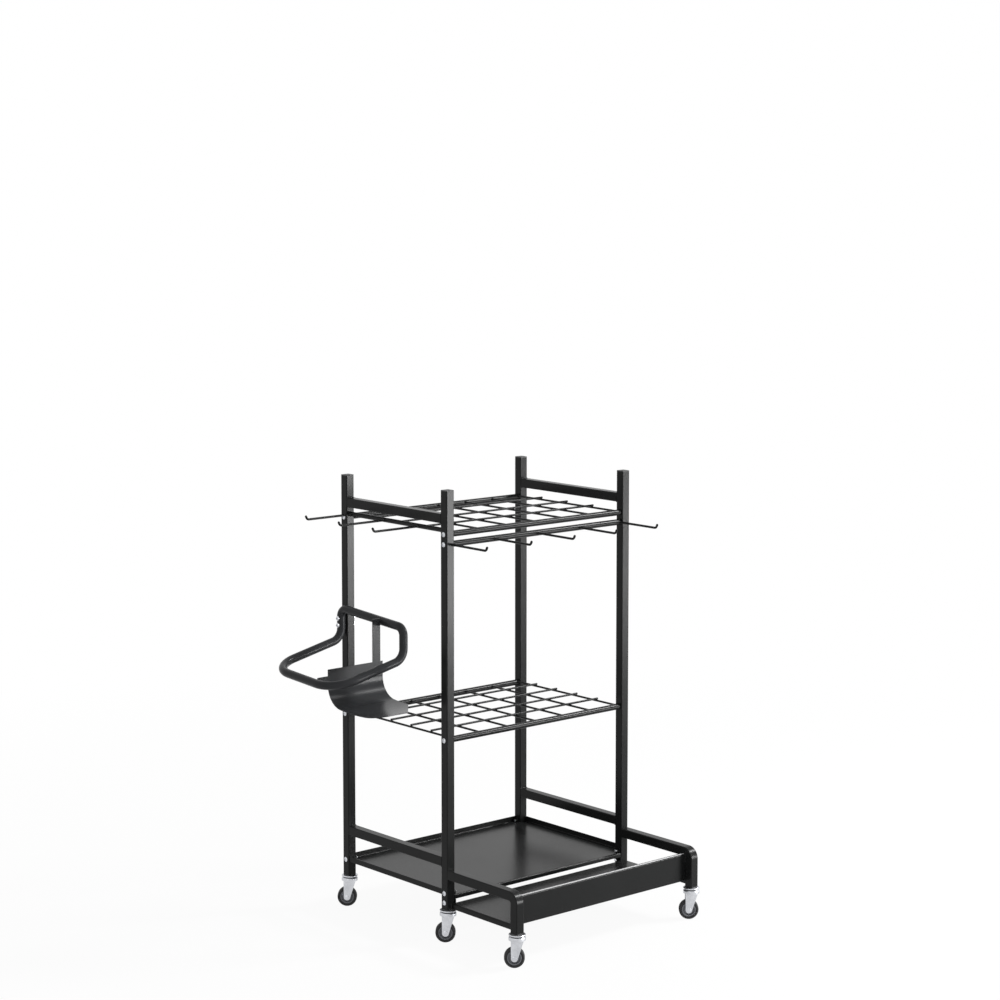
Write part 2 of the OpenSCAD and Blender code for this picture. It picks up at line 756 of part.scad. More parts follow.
// A rounded corner of a round rod's path
module rod_corner(before, at, after, r, d) {
    back = heading(at, before);
    ahead = heading(at, after);
    turn = 180 - acos(back * ahead);
    middle = at + (back + ahead) / norm(back + ahead) * r / cos(turn / 2);
    x_axis = heading(middle, at + back * r * tan(turn / 2));
    y_axis = -back;
    z_axis = cross(x_axis, y_axis);
    multmatrix([
        [x_axis.x, y_axis.x, z_axis.x, middle.x],
        [x_axis.y, y_axis.y, z_axis.y, middle.y],
        [x_axis.z, y_axis.z, z_axis.z, middle.z]
    ]) rod_bend(r, turn, d);
}

// A closed loop of round rod through a list of points with rounded corners
module rod_loop(path, radii, d) {
    n = len(path);
    trims = [for (i = [0 : n - 1])
        corner_trim(path[(i + n - 1) % n], path[i], path[(i + 1) % n], radii[i])];
    for (i = [0 : n - 1]) {
        before = path[(i + n - 1) % n];
        after = path[(i + 1) % n];
        ahead = heading(path[i], after);
        rod_corner(before, path[i], after, radii[i], d);
        rod(path[i] + ahead * trims[i], after - ahead * trims[(i + 1) % n], d);
    }
}

// The cradle: one bent tube, bolted beside the rear left post
module cradle_frame() {
    color(cradle_grey) placed() difference() {
        rod_loop(cradle_path, cradle_radii, cradle_d);
        rod_loop(cradle_path, cradle_radii, cradle_d - 2 * cradle_wall);
        for (drop = cradle_bolt_drops) translate([cradle_x, rear_y, cradle_far_top_z - drop])
            cross_hole(bolt_hole_r);
    }
}

// A strip along an arc about the origin
module arc_strip(r, t, from, to) {
    far = 2 * r;
    intersection() {
        difference() {
            circle(r + t / 2, $fn = arc_fn);
            circle(r - t / 2, $fn = arc_fn);
        }
        polygon([[0, 0], far * [cos(from), sin(from)], far * [cos(to), sin(to)]]);
    }
}

// Section of the cradle's tray: x to the back, y up
module cradle_tray_section() {
    translate(foot_middle)
        arc_strip(foot_arc_r, cradle_sheet_t, -90 - foot_front_angle, -90 + foot_back_angle);
    translate(back_middle) arc_strip(back_arc_r, cradle_sheet_t, -90 + foot_back_angle, 0);
    translate([back_y - cradle_sheet_t / 2, back_middle.y])
        square([cradle_sheet_t, back_top_z - back_middle.y]);
}

// The cradle's tray: a curved foot and an upright back with one ear at the rim
// and one at the top bar
module cradle_tray() {
    inner_x = -cradle_sheet_gap;
    outer_x = inner_x - cradle_sheet_w;
    rim_x = -cradle_reach + cradle_d / 2 + weld_gap;
    bar_x = cradle_x - cradle_d / 2 - weld_gap;
    color(cradle_grey) placed() {
        difference() {
            translate([outer_x, 0, 0]) rotate([90, 0, 90]) linear_extrude(cradle_sheet_w) cradle_tray_section();
            translate([outer_x, foot_front_y, 0]) linear_extrude(back_top_z) difference() {
                translate([-over, -over]) square(foot_corner_r + over);
                translate([foot_corner_r, foot_corner_r]) circle(foot_corner_r);
            }
            translate([inner_x, foot_front_y, 0]) linear_extrude(back_top_z)
                polygon([[-foot_cut_x, 0], [-foot_cut_x, -over], [over, -over], [over, foot_cut_y], [0, foot_cut_y]]);
        }
        translate([rim_x, back_y - cradle_sheet_t / 2, rim_z - rim_ear_h / 2])
            cube([outer_x - rim_x + sheet_lap, cradle_sheet_t, rim_ear_h]);
        translate([bar_x - bar_ear_w, back_y - cradle_sheet_t / 2, back_top_z - sheet_lap])
            cube([bar_ear_w, cradle_sheet_t, bar_z + bar_ear_rise - back_top_z + sheet_lap]);
    }
}

// A domed head on the plane z = 0, with a low straight edge
module domed_head(d, h, edge_h) {
    dome_h = h - edge_h;
    ball_r = (d * d / 4 + dome_h * dome_h) / (2 * dome_h);
    rotate_extrude() intersection() {
        square([d / 2, h]);
        translate([0, h - ball_r]) circle(ball_r, $fn = arc_fn);
    }
}

// A bolt with its shank along +Z and its head under the plane z = 0
module bolt(length) {
    difference() {
        union() {
            cylinder(h = length, d = bolt_d);
            mirror([0, 0, 1]) domed_head(bolt_head_d, bolt_head_h, head_edge_h);
        }
        translate([0, 0, -bolt_head_h - over])
            cylinder(h = bolt_head_h * key_depth_share + over, d = bolt_key_w / cos(30), $fn = 6);
    }
}

// All bolts: through the posts into rails and ears, into the arms, legs and cradle
module frame_bolts() {
    rail_bolt = tube_w + thread_len;
    ear_bolt = tube_w + sheet_gap + sheet_t + nut_h + bolt_past;
    cradle_bolt = cradle_d + weld_gap + tube_w + nut_h + bolt_past;
    color(zinc) placed() {
        for (side = [0, 1]) translate([side * outer_right, 0, 0]) mirror([side, 0, 0]) {
            for (z = [top_rail_z, hook_rail_z, mid_rail_z])
                translate([0, front_y, z]) rotate([0, 90, 0]) bolt(rail_bolt);
            for (z = [top_rail_z, mid_rail_z])
                translate([0, rear_y, z]) rotate([0, 90, 0]) bolt(rail_bolt);
            for (place = [[0, front_y, shelf_bolt_z], [0, rear_y, shelf_bolt_z], [0, front_y, tray_z]])
                translate(place) rotate([0, 90, 0]) bolt(ear_bolt);
            translate([left_x, tube_w, arm_z]) rotate([90, 0, 0]) bolt(tube_w + thread_len);
            translate([left_x, leg_back + sheet_t, panel_bolt_z])
                rotate([90, 0, 0]) bolt(sheet_t + leg_boss_len);
        }
        for (drop = cradle_bolt_drops) translate([cradle_x - cradle_d / 2, rear_y, cradle_far_top_z - drop])
            rotate([0, 90, 0]) bolt(cradle_bolt);
    }
}

// Nuts on the cradle's bolts, against the post's inner face
module cradle_nuts() {
    color(zinc) placed() for (drop = cradle_bolt_drops)
        translate([inner_left, rear_y, cradle_far_top_z - drop]) rotate([0, 90, 0]) difference() {
            cylinder(h = nut_h, d = nut_w / cos(30), $fn = 6);
            translate([0, 0, -over]) cylinder(h = nut_h + 2 * over, r = tap_r);
        }
}

// Plugs in the lower ends of the posts and legs, bored for the casters' stems
module stem_sockets() {
    color(plastic_black) placed() for (place = caster_places) translate([place.x, place.y, caster_h])
        difference() {
            union() {
                linear_extrude(socket_flange_t) rounded_square(tube_w, tube_corner_r);
                linear_extrude(socket_h) rounded_square(plug_w, tube_inner_r);
            }
            translate([0, 0, -over]) cylinder(h = socket_h + 2 * over, r = stem_d / 2 + fixed_clear);
        }
}

// Washers between the casters' plates and forks
module swivel_washers() {
    color(plastic_black) placed() for (place = caster_places) translate([place.x, place.y, washer_z])
        difference() {
            cylinder(h = swivel_washer_t, d = swivel_washer_d);
            translate([0, 0, -over])
                cylinder(h = swivel_washer_t + 2 * over, r = kingpin_d / 2 + fixed_clear);
        }
}

// A caster's stem, round plate and riveted kingpin, which do not turn
module caster_stem(place) {
    color(zinc) placed() translate([place.x, place.y, 0]) rotate_extrude() {
        translate([0, kingpin_head_z]) square([kingpin_d / 2, caster_h - kingpin_head_z]);
        translate([0, caster_h - plate_t]) square([(plate_d - plate_t) / 2, plate_t]);
        intersection() {
            translate([(plate_d - plate_t) / 2, caster_h - plate_t / 2]) circle(plate_t / 2);
            translate([0, caster_h - plate_t]) square([plate_d, plate_t]);
        }
        translate([0, caster_h]) polygon([
            [0, 0], [stem_d / 2, 0], [stem_d / 2, stem_len - stem_chamfer],
            [stem_d / 2 - stem_chamfer, stem_len], [0, stem_len]
        ]);
        translate([0, kingpin_head_z - kingpin_head_h]) polygon([
            [0, 0], [kingpin_head_d / 2 - stem_chamfer, 0], [kingpin_head_d / 2, stem_chamfer],
            [kingpin_head_d / 2, kingpin_head_h], [0, kingpin_head_h]
        ]);
    }
}

// Outline of a fork's leg: x along the trail, y up; its sides cross the round end a little inside it
module fork_leg_outline() {
    axle = [trail, axle_z];
    touch_r = fork_end_d / 2 - bend_step;
    corners = [for (side = [-1, 1]) [side * fork_top_w / 2, fork_taper_z]];
    touches = [for (i = [0, 1]) let (
        reach = corners[i] - axle,
        angle = atan2(reach.y, reach.x) + (i == 0 ? 1 : -1) * acos(touch_r / norm(reach))
    ) axle + touch_r * [cos(angle), sin(angle)]];
    polygon([
        [-fork_top_w / 2, crown_z - fork_t], corners[0], touches[0],
        touches[1], corners[1], [fork_top_w / 2, crown_z - fork_t]
    ]);
    translate(axle) circle(d = fork_end_d);
}

// A caster's pressed fork: a round crown with two tapering legs
module caster_fork(place) {
    crown_r = plate_d / 2;
    edge_r = fork_t + sheet_bend_r;
    color(zinc) placed() translate([place.x, place.y, 0]) rotate([0, 0, trail_angle]) difference() {
        union() {
            rotate_extrude() {
                translate([0, crown_z - fork_t]) square([crown_r - edge_r, fork_t]);
                translate([crown_r - fork_t, fork_taper_z]) square([fork_t, crown_h - edge_r]);
                translate([crown_r - edge_r, crown_z - edge_r]) intersection() {
                    difference() {
                        circle(edge_r);
                        circle(sheet_bend_r);
                    }
                    square(edge_r);
                }
            }
            for (side = [-1, 1]) translate([0, side * (fork_half + fork_t / 2) + fork_t / 2, 0])
                rotate([90, 0, 0]) linear_extrude(fork_t) fork_leg_outline();
        }
        translate([0, 0, crown_z - fork_t - over])
            cylinder(h = fork_t + 2 * over, r = kingpin_d / 2 + run_clear);
        translate([trail, 0, axle_z]) rotate([90, 0, 0])
            cylinder(h = fork_gap + 2 * fork_t + 2 * over, r = axle_d / 2 + fixed_clear, center = true);
    }
}

// Places a shape of revolution on a caster's axle
module on_axle(place) {
    placed() translate([place.x, place.y, 0]) rotate([0, 0, trail_angle])
        translate([trail, 0, axle_z]) rotate([90, 0, 0]) children();
}

// A caster's axle, riveted over at both ends
module caster_axle(place) {
    grip = fork_half + fork_t;
    color(zinc) on_axle(place) {
        cylinder(h = 2 * grip, d = axle_d, center = true);
        for (side = [0, 1]) mirror([0, 0, side]) translate([0, 0, grip])
            domed_head(axle_head_d, axle_head_h, axle_head_h / 4);
    }
}

// A caster's tyre, with round shoulders and a shallow groove in each side
module caster_tyre(place) {
    inner_r = hub_d / 2 + fixed_clear;
    groove_r = (inner_r + wheel_d / 2 - tyre_shoulder_r) / 2;
    color(rubber_black) on_axle(place) rotate_extrude() difference() {
        union() {
            translate([inner_r, -tyre_w / 2]) square([tread_r - inner_r, tyre_w]);
            translate([inner_r, -half_tyre]) square([wheel_d / 2 - inner_r, 2 * half_tyre]);
            for (side = [-1, 1]) translate([tread_r, side * half_tyre]) circle(tyre_shoulder_r);
        }
        for (side = [-1, 1])
            translate([groove_r, side * tyre_w / 2])
                square([tyre_groove_w, 2 * tyre_groove_depth], center = true);
    }
}

// A caster's hub: a rim, a web and a boss that turns on the axle
module caster_hub(place) {
    rim_w = tyre_w * hub_rim_w_share;
    boss_len = fork_gap - 2 * hub_end_gap;
    bore_r = axle_d / 2 + run_clear;
    color(hub_grey) on_axle(place) rotate_extrude() {
        translate([hub_d / 2 - hub_rim_t, -rim_w / 2]) square([hub_rim_t, rim_w]);
        translate([bore_r, -hub_web_t / 2]) square([hub_d / 2 - bore_r, hub_web_t]);
        translate([bore_r, -boss_len / 2]) square([hub_boss_d / 2 - bore_r, boss_len]);
    }
}

module stem_front_left() {
    caster_stem(front_left);
}

module fork_front_left() {
    caster_fork(front_left);
}

module axle_front_left() {
    caster_axle(front_left);
}

module tyre_front_left() {
    caster_tyre(front_left);
}

module hub_front_left() {
    caster_hub(front_left);
}

module stem_front_right() {
    caster_stem(front_right);
}

module fork_front_right() {
    caster_fork(front_right);
}

module axle_front_right() {
    caster_axle(front_right);
}

module tyre_front_right() {
    caster_tyre(front_right);
}

module hub_front_right() {
    caster_hub(front_right);
}

module stem_rear_left() {
    caster_stem(rear_left);
}

module fork_rear_left() {
    caster_fork(rear_left);
}

module axle_rear_left() {
    caster_axle(rear_left);
}

module tyre_rear_left() {
    caster_tyre(rear_left);
}

module hub_rear_left() {
    caster_hub(rear_left);
}

module stem_rear_right() {
    caster_stem(rear_right);
}

module fork_rear_right() {
    caster_fork(rear_right);
}

module axle_rear_right() {
    caster_axle(rear_right);
}

module tyre_rear_right() {
    caster_tyre(rear_right);
}

module hub_rear_right() {
    caster_hub(rear_right);
}

module stem_leg_left() {
    caster_stem(leg_left);
}

module fork_leg_left() {
    caster_fork(leg_left);
}

module axle_leg_left() {
    caster_axle(leg_left);
}

module tyre_leg_left() {
    caster_tyre(leg_left);
}

module hub_leg_left() {
    caster_hub(leg_left);
}

module stem_leg_right() {
    caster_stem(leg_right);
}

module fork_leg_right() {
    caster_fork(leg_right);
}

module axle_leg_right() {
    caster_axle(leg_right);
}

module tyre_leg_right() {
    caster_tyre(leg_right);
}

module hub_leg_right() {
    caster_hub(leg_right);
}

post_front_left();
post_front_right();
post_rear_left();
post_rear_right();
post_caps();
upper_bar_left();
upper_bar_right();
lower_bar_left();
lower_bar_right();
front_leg_left();
front_leg_right();
top_front_rail();
top_back_rail();
mid_front_rail();
mid_back_rail();
hook_rail();
side_hook_rail();
top_grid();
mid_grid();
front_hooks();
side_hooks();
rear_shelf();
front_tray();
front_panel();
cradle_frame();
cradle_tray();
frame_bolts();
cradle_nuts();
stem_sockets();
swivel_washers();
stem_front_left();
fork_front_left();
axle_front_left();
tyre_front_left();
hub_front_left();
stem_front_right();
fork_front_right();
axle_front_right();
tyre_front_right();
hub_front_right();
stem_rear_left();
fork_rear_left();
axle_rear_left();
tyre_rear_left();
hub_rear_left();
stem_rear_right();
fork_rear_right();
axle_rear_right();
tyre_rear_right();
hub_rear_right();
stem_leg_left();
fork_leg_left();
axle_leg_left();
tyre_leg_left();
hub_leg_left();
stem_leg_right();
fork_leg_right();
axle_leg_right();
tyre_leg_right();
hub_leg_right();
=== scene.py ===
import json
import math

import bmesh
import bpy
from mathutils import Matrix, Vector


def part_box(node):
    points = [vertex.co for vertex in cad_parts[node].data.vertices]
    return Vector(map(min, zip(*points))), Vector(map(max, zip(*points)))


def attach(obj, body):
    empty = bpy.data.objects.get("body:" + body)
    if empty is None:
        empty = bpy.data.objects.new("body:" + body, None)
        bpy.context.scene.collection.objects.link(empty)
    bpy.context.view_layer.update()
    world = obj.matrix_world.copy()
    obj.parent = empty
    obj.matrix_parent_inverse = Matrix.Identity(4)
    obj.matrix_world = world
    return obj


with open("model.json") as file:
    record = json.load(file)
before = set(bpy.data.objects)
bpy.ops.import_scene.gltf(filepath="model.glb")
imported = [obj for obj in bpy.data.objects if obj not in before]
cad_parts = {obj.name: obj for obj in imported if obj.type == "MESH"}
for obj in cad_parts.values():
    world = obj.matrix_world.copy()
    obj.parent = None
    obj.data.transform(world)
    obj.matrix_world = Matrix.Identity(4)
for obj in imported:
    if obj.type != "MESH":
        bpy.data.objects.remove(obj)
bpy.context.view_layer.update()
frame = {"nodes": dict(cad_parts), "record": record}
nodes = frame["nodes"]
print("frame loaded:", len(nodes), "nodes")

mm = 0.001


# A shader socket that takes Python operators, each of which adds its node
class Socket:
    def __init__(self, tree, link):
        self.tree = tree
        self.link = link

    def withOther(self, operation, other, flipped=False):
        first, second = (other, self) if flipped else (self, other)
        return self.tree.add("ShaderNodeMath", {"operation": operation}, {0: first, 1: second})

    def __add__(self, other):
        return self.withOther("ADD", other)

    def __radd__(self, other):
        return self.withOther("ADD", other, True)

    def __sub__(self, other):
        return self.withOther("SUBTRACT", other)

    def __rsub__(self, other):
        return self.withOther("SUBTRACT", other, True)

    def __mul__(self, other):
        return self.withOther("MULTIPLY", other)

    def __truediv__(self, other):
        return self.withOther("DIVIDE", other)

    def clamped(self):
        return self.withOther("MAXIMUM", 0.0).withOther("MINIMUM", 1.0)


# The node tree of a material or world
class Tree:
    def __init__(self, owner):
        self.owner = owner
        owner.use_nodes = True
        self.nodes = owner.node_tree.nodes
        self.links = owner.node_tree.links
        self.nodes.clear()

    def add(self, kind, settings=None, inputs=None, output=0):
        node = self.nodes.new(kind)
        for key, value in (settings or {}).items():
            setattr(node, key, value)
        for key, value in (inputs or {}).items():
            if isinstance(value, Socket):
                self.links.new(value.link, node.inputs[key])
            else:
                node.inputs[key].default_value = value
        if isinstance(output, tuple):
            return [Socket(self, node.outputs[key]) for key in output]
        return Socket(self, node.outputs[output])

    def place(self):
        return self.add("ShaderNodeTexCoord", output="Object")

    def noise(self, scale, detail, stretch=None):
        spot = self.place()
        if stretch:
            inputs = {"Vector": spot, "Scale": stretch}
            spot = self.add("ShaderNodeMapping", inputs=inputs, output="Vector")
        inputs = {"Vector": spot, "Scale": scale, "Detail": detail}
        return self.add("ShaderNodeTexNoise", inputs=inputs)

    # The colour mix: sockets 6 and 7 are its two colours, output 2 the result
    def mix(self, share, first, second):
        inputs = {0: share, 6: first, 7: second}
        return self.add("ShaderNodeMix", {"data_type": "RGBA"}, inputs, 2)

    def bump(self, height, distance, strength):
        inputs = {"Height": height, "Distance": distance, "Strength": strength}
        return self.add("ShaderNodeBump", inputs=inputs, output="Normal")

    def principled(self, colour, roughness, normal, specular=0.5, metallic=0.0):
        inputs = {
            "Base Color": colour,
            "Roughness": roughness,
            "Normal": normal,
            "Specular IOR Level": specular,
            "Metallic": metallic,
        }
        return self.add("ShaderNodeBsdfPrincipled", inputs=inputs)

    def finish(self, shader, kind="ShaderNodeOutputMaterial"):
        self.links.new(shader.link, self.nodes.new(kind).inputs["Surface"])
        return self.owner


def newTree(name):
    return Tree(bpy.data.materials.new(name))


def shade(colour, factor=1.0):
    return (colour[0] * factor, colour[1] * factor, colour[2] * factor, 1.0)


# Painted highlight: pale colour and extent of the band that stands in for the reflection on the front
# panel's top fold
foldHighlightPaint = {
    "colour": (0.62, 0.62, 0.63),
    "start": 1.2 * mm,
    "end": 5.8 * mm,
    "drop": 0.5 * mm,
    "soft": 0.4 * mm,
    "rise": 0.2 * mm,
}


# Painted highlight: a pale band painted along the front panel's top fold, standing in for light
# reflected there
def foldHighlightMask(tree):
    low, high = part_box("front_panel")
    y, z = tree.add("ShaderNodeSeparateXYZ", inputs={0: tree.place()}, output=("Y", "Z"))
    top = (z - (high[2] - foldHighlightPaint["drop"])) / foldHighlightPaint["rise"]
    front = (y - (low[1] + foldHighlightPaint["start"])) / foldHighlightPaint["soft"]
    rear = (low[1] + foldHighlightPaint["end"] - y) / foldHighlightPaint["soft"]
    return top.clamped() * front.clamped() * rear.clamped()


coatFinish = {
    "rackColour": (0.011, 0.0114, 0.0114),
    "cradleColour": (0.028, 0.029, 0.031),
    "dark": 0.82,
    "pale": 1.22,
    "fleck": 1.5,
    "fleckShare": 0.35,
    "roughness": 0.18,
    "cloudRoughness": 0.08,
    "grainRoughness": 0.05,
    "specular": 0.1,
    "cloudScale": 7.0,
    "cloudDetail": 3.0,
    "peelScale": 900.0,
    "peelDetail": 2.0,
    "grainScale": 2600.0,
    "grainDetail": 1.0,
    "grainHeight": 0.4,
    "peelHeight": 0.04 * mm,
    "bump": 0.6,
}


# Satin powder coat: fine orange peel over slow clouds of tone; on the front panel, also a painted
# highlight along the top fold
def powderCoat(name, colour, withPaintedHighlight=False):
    facts = coatFinish
    tree = newTree(name)
    cloud = tree.noise(facts["cloudScale"], facts["cloudDetail"])
    peel = tree.noise(facts["peelScale"], facts["peelDetail"])
    grain = tree.noise(facts["grainScale"], facts["grainDetail"])
    tone = tree.mix(cloud.clamped(), shade(colour, facts["dark"]), shade(colour, facts["pale"]))
    tone = tree.mix(grain * facts["fleckShare"], tone, shade(colour, facts["fleck"]))
    # Painted highlight: a pale colour painted on the fold's top in place of a reflection of light
    if withPaintedHighlight:
        tone = tree.mix(foldHighlightMask(tree), tone, shade(foldHighlightPaint["colour"]))
    rough = facts["roughness"] + cloud * facts["cloudRoughness"] + grain * facts["grainRoughness"]
    normal = tree.bump(peel + grain * facts["grainHeight"], facts["peelHeight"], facts["bump"])
    return tree.finish(tree.principled(tone, rough, normal, specular=facts["specular"]))


zincFinish = {
    "colour": (0.72, 0.73, 0.76),
    "dull": (0.34, 0.35, 0.37),
    "bright": 1.15,
    "brightShare": 0.35,
    "roughness": 0.24,
    "cloudRoughness": 0.14,
    "scratchRoughness": 0.06,
    "spangleScale": 420.0,
    "cloudScale": 60.0,
    "cloudDetail": 3.0,
    "scratchScale": 500.0,
    "scratchDetail": 2.0,
    "scratchStretch": (1.0, 1.0, 0.12),
    "spangleHeight": 0.3,
    "scratchHeight": 0.02 * mm,
    "bump": 0.5,
}


# Bright zinc plate with faint spangle and drawing marks
def zincPlate(name):
    facts = zincFinish
    tree = newTree(name)
    inputs = {"Vector": tree.place(), "Scale": facts["spangleScale"]}
    spangle = tree.add("ShaderNodeTexVoronoi", inputs=inputs)
    cloud = tree.noise(facts["cloudScale"], facts["cloudDetail"])
    scratch = tree.noise(facts["scratchScale"], facts["scratchDetail"], facts["scratchStretch"])
    tone = tree.mix(cloud.clamped(), shade(facts["dull"]), shade(facts["colour"]))
    tone = tree.mix(spangle * facts["brightShare"], tone, shade(facts["colour"], facts["bright"]))
    rough = facts["roughness"] + cloud * facts["cloudRoughness"] + scratch * facts["scratchRoughness"]
    height = scratch + spangle * facts["spangleHeight"]
    normal = tree.bump(height, facts["scratchHeight"], facts["bump"])
    return tree.finish(tree.principled(tone, rough, normal, metallic=1.0))


tyreFinish = {
    "colour": (0.018, 0.018, 0.019),
    "dark": 0.8,
    "pale": 1.9,
    "bloomShare": 0.8,
    "roughness": 0.62,
    "bloomRoughness": 0.16,
    "specular": 0.4,
    "bloomScale": 55.0,
    "bloomDetail": 4.0,
    "grainScale": 1800.0,
    "grainDetail": 2.0,
    "grainHeight": 0.05 * mm,
    "bump": 0.7,
}


# Moulded rubber with a faint bloom
def tyreRubber(name):
    facts = tyreFinish
    colour = facts["colour"]
    tree = newTree(name)
    bloom = tree.noise(facts["bloomScale"], facts["bloomDetail"])
    grain = tree.noise(facts["grainScale"], facts["grainDetail"])
    share = bloom * facts["bloomShare"]
    tone = tree.mix(share, shade(colour, facts["dark"]), shade(colour, facts["pale"]))
    rough = facts["roughness"] + bloom * facts["bloomRoughness"]
    normal = tree.bump(grain, facts["grainHeight"], facts["bump"])
    return tree.finish(tree.principled(tone, rough, normal, specular=facts["specular"]))


plasticFinish = {
    "hubColour": (0.17, 0.175, 0.19),
    "blackColour": (0.018, 0.018, 0.019),
    "dark": 0.85,
    "pale": 1.2,
    "roughness": 0.46,
    "flowRoughness": 0.1,
    "grainScale": 1500.0,
    "grainDetail": 3.0,
    "flowScale": 28.0,
    "flowDetail": 2.0,
    "grainHeight": 0.05 * mm,
    "bump": 0.6,
}


# Moulded plastic with a fine spark-eroded grain
def mouldedPlastic(name, colour):
    facts = plasticFinish
    tree = newTree(name)
    grain = tree.noise(facts["grainScale"], facts["grainDetail"])
    flow = tree.noise(facts["flowScale"], facts["flowDetail"])
    tone = tree.mix(flow.clamped(), shade(colour, facts["dark"]), shade(colour, facts["pale"]))
    rough = facts["roughness"] + flow * facts["flowRoughness"]
    normal = tree.bump(grain, facts["grainHeight"], facts["bump"])
    return tree.finish(tree.principled(tone, rough, normal))


finishes = {
    "rack_coat": powderCoat("satinPowderCoat", coatFinish["rackColour"]),
    "cradle_coat": powderCoat("cradlePowderCoat", coatFinish["cradleColour"]),
    "zinc": zincPlate("zincPlate"),
    "tyre": tyreRubber("tyreRubber"),
    "hub_plastic": mouldedPlastic("hubPlastic", plasticFinish["hubColour"]),
    "black_plastic": mouldedPlastic("blackPlastic", plasticFinish["blackColour"]),
}
# The front panel's coat carries the painted highlight on its top fold
panelHighlightCoat = powderCoat("panelCoatWithPaintedHighlight", coatFinish["rackColour"], True)
slotOf = {part["node"]: part["material_slot"] for part in frame["record"]["subparts"]}
for name, piece in nodes.items():
    piece.data.materials.clear()
    piece.data.materials.append(finishes[slotOf[name]])
nodes["front_panel"].data.materials[0] = panelHighlightCoat
print("materials set on the CAD nodes")

weldMesh = {"ringSides": 8, "ringSteps": 14, "blobRounds": 2, "collarSegments": 3}


def newPiece(name, mesh, body, slotName):
    bmesh.ops.recalc_face_normals(mesh, faces=mesh.faces)
    data = bpy.data.meshes.new(name)
    mesh.to_mesh(data)
    mesh.free()
    for face in data.polygons:
        face.use_smooth = True
    piece = bpy.data.objects.new(name, data)
    bpy.context.scene.collection.objects.link(piece)
    piece.data.materials.append(finishes[slotName])
    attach(piece, body)


def centreOf(node):
    low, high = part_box(node)
    return [(low[i] + high[i]) / 2 for i in range(3)]


def along(start, end, count):
    return [start + (end - start) * i / (count - 1) for i in range(count)]


# A ring of weld round a rod, in the plane square to its axis
def addRing(mesh, centre, axis, rodRadius, bead):
    before = set(mesh.verts)
    made = bmesh.ops.create_circle(mesh, segments=weldMesh["ringSides"], radius=bead)["verts"]
    upright = Matrix.Translation((rodRadius, 0, 0)) @ Matrix.Rotation(math.pi / 2, 4, "X")
    bmesh.ops.transform(mesh, matrix=upright, verts=made)
    edges = list({edge for vert in made for edge in vert.link_edges})
    bmesh.ops.spin(
        mesh, geom=made + edges, cent=(0, 0, 0), axis=(0, 0, 1),
        angle=2 * math.pi, steps=weldMesh["ringSteps"], use_merge=True)
    ring = [vert for vert in mesh.verts if vert not in before]
    facing = Vector((0, 0, 1)).rotation_difference(Vector(axis)).to_matrix().to_4x4()
    bmesh.ops.transform(mesh, matrix=Matrix.Translation(centre) @ facing, verts=ring)


def sized(centre, size):
    return Matrix.Translation(centre) @ Matrix.Diagonal((*size, 1))


# A flat blob of weld
def addBlob(mesh, centre, size):
    rounds = weldMesh["blobRounds"]
    made = bmesh.ops.create_icosphere(mesh, subdivisions=rounds, radius=0.5)["verts"]
    bmesh.ops.transform(mesh, matrix=sized(centre, size), verts=made)


# A block of weld with soft edges, round the end of a square bar or in a corner
def addCollar(mesh, centre, size, soft):
    made = bmesh.ops.create_cube(mesh, size=1.0)["verts"]
    bmesh.ops.transform(mesh, matrix=sized(centre, size), verts=made)
    edges = list({edge for vert in made for edge in vert.link_edges})
    bmesh.ops.bevel(
        mesh, geom=edges, offset=soft, affect="EDGES",
        segments=weldMesh["collarSegments"], profile=0.5, material=-1)


gridWelds = {
    "wireRadius": 2.25 * mm,
    "bead": 0.9 * mm,
    "blob": (4.2 * mm, 4.2 * mm, 1.6 * mm),
    "longWires": 7,
}


# Welds at the ends of a grid's wires and where they cross
def weldGrid(name, node, crossWires):
    low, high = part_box(node)
    radius = gridWelds["wireRadius"]
    mesh = bmesh.new()
    wireZ = low[2] + radius
    frontY, rearY = centreOf("post_front_left")[1], centreOf("post_rear_left")[1]
    for x in along(low[0] + radius, high[0] - radius, gridWelds["longWires"]):
        for y in (low[1], high[1]):
            addRing(mesh, (x, y, wireZ), (0, 1, 0), radius, gridWelds["bead"])
        for y in along(frontY, rearY, crossWires + 2)[1:-1]:
            addBlob(mesh, (x, y, wireZ + radius), gridWelds["blob"])
    newPiece(name, mesh, "rack", "rack_coat")


barWelds = {"proud": 0.7 * mm, "depth": 2.2 * mm, "soft": 0.9 * mm}


# Fillets round both ends of the side bars
def weldBars():
    mesh = bmesh.new()
    for node in ("upper_bar_left", "upper_bar_right", "lower_bar_left", "lower_bar_right"):
        low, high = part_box(node)
        centre = centreOf(node)
        width = high[0] - low[0] + 2 * barWelds["proud"]
        height = high[2] - low[2] + 2 * barWelds["proud"]
        size = (width, barWelds["depth"], height)
        for y in (low[1], high[1]):
            addCollar(mesh, (centre[0], y, centre[2]), size, barWelds["soft"])
    newPiece("barWelds", mesh, "rack", "rack_coat")


hookWelds = {
    "rodRadius": 2.5 * mm,
    "bead": 1.0 * mm,
    "railRadius": 5 * mm,
    "frontHooks": 5,
    "sideHooks": 3,
}


